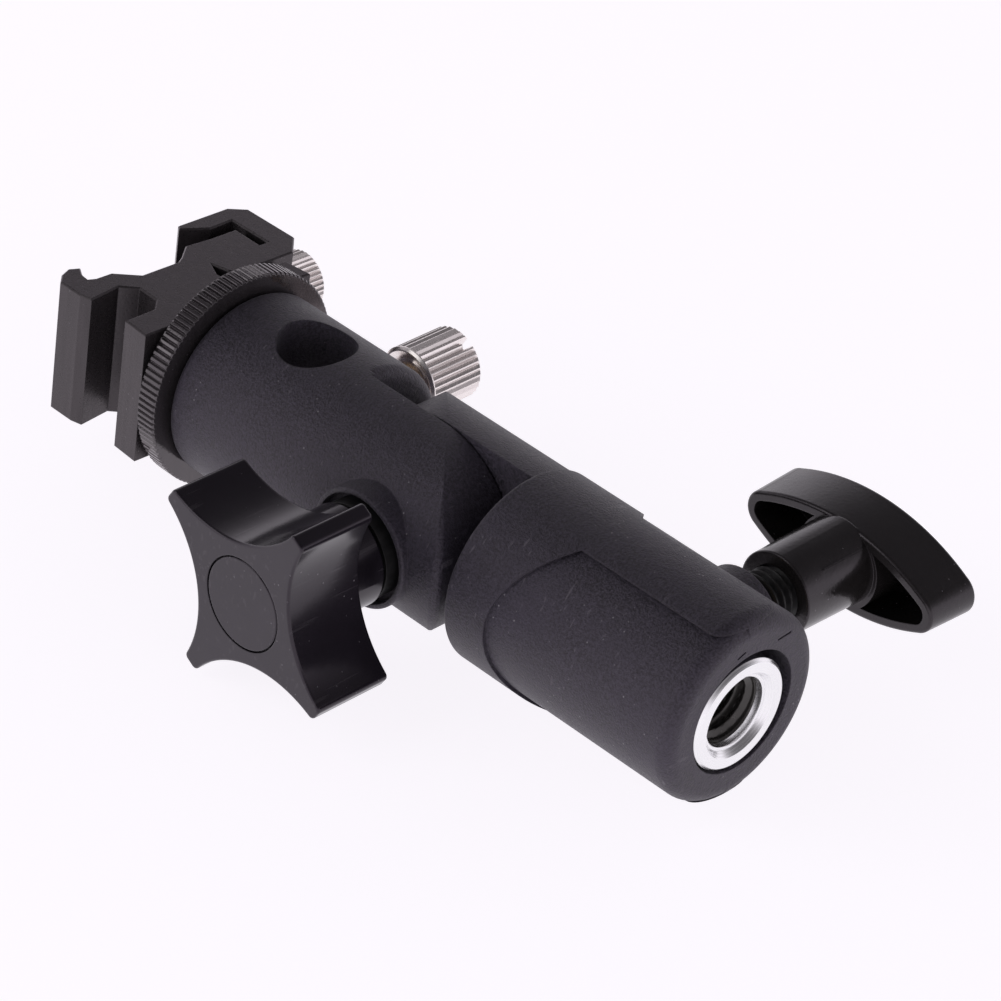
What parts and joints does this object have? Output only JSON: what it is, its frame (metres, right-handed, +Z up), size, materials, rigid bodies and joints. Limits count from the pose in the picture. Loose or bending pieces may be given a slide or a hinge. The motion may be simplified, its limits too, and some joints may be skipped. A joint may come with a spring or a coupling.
{
  "type": "umbrella swivel bracket",
  "caption": "Tilting light stand bracket with a spigot socket, T-handle lock, four-armed tilt knob, umbrella hole with thumbscrew and a clamping flash shoe on a knurled ring.",
  "frame": {"origin": "where the tilt hinge's axis crosses the axis of the two bodies", "axes": "+X along the bodies towards the stand socket, +Y along the hinge from the star knob to the T-handle side, +Z up along the umbrella hole"},
  "size_m": [0.1182, 0.0768, 0.032],
  "materials": {
    "nylon_body": "matt glass-filled nylon with a fine sandy texture",
    "gloss_knob": "glossy moulded nylon",
    "satin_handle": "satin moulded nylon",
    "black_alloy": "black anodised extrusion, satin",
    "bright_plate": "bright plated turned steel",
    "nickel_plate": "nickel plated, knurled",
    "black_steel": "black oxide steel",
    "brass": "turned brass",
    "zinc_steel": "zinc plated steel"
  },
  "bodies": {
    "lower": {"lower_body": "nylon_body", "stand_lock_insert": "brass", "hinge_bolt": "zinc_steel", "hinge_cover": "nylon_body", "hinge_washer": "black_steel"},
    "adapter": {"spigot_adapter": "bright_plate"},
    "t_lock": {"t_handle": "satin_handle", "t_handle_stud": "black_steel"},
    "upper": {"upper_body": "nylon_body", "umbrella_lock_insert": "brass", "stud_insert": "brass", "knob_washer": "black_steel", "shoe_screw": "black_steel"},
    "star": {"star_knob": "gloss_knob", "star_knob_insert": "brass", "star_knob_cap": "gloss_knob"},
    "umbrella_screw": {"umbrella_lock_screw": "nickel_plate"},
    "ring": {"lock_ring": "black_alloy"},
    "shoe": {"shoe_body": "black_alloy", "shoe_thread_insert": "zinc_steel", "ring_washer": "black_steel"},
    "clamp_screw": {"shoe_clamp_screw": "nickel_plate"}
  },
  "joints": [
    {"name": "tilt", "type": "hinge", "parent": "lower", "child": "upper", "pos_m": [0, 0, 0], "axis": [0, 1, 0], "range_deg": [-90, 90]},
    {"name": "star_turn", "type": "hinge", "parent": "lower", "child": "star", "pos_m": [0, 0, 0], "axis": [0, 1, 0], "continuous": true},
    {"name": "adapter_slide", "type": "slide", "parent": "lower", "child": "adapter", "axis": [1, 0, 0], "range_m": [0, 0.034]},
    {"name": "t_handle_turn", "type": "hinge", "parent": "lower", "child": "t_lock", "pos_m": [0.0398, 0, 0], "axis": [0, 1, 0], "continuous": true},
    {"name": "umbrella_screw_turn", "type": "hinge", "parent": "upper", "child": "umbrella_screw", "pos_m": [-0.0243, 0, 0], "axis": [0, 1, 0], "continuous": true},
    {"name": "ring_turn", "type": "hinge", "parent": "upper", "child": "ring", "pos_m": [0, 0, 0], "axis": [1, 0, 0], "continuous": true},
    {"name": "shoe_swivel", "type": "hinge", "parent": "upper", "child": "shoe", "pos_m": [0, 0, 0], "axis": [1, 0, 0], "continuous": true},
    {"name": "clamp_screw_turn", "type": "hinge", "parent": "shoe", "child": "clamp_screw", "pos_m": [-0.0536, 0, 0], "axis": [0, 0.9991, -0.0419], "continuous": true}
  ]
}
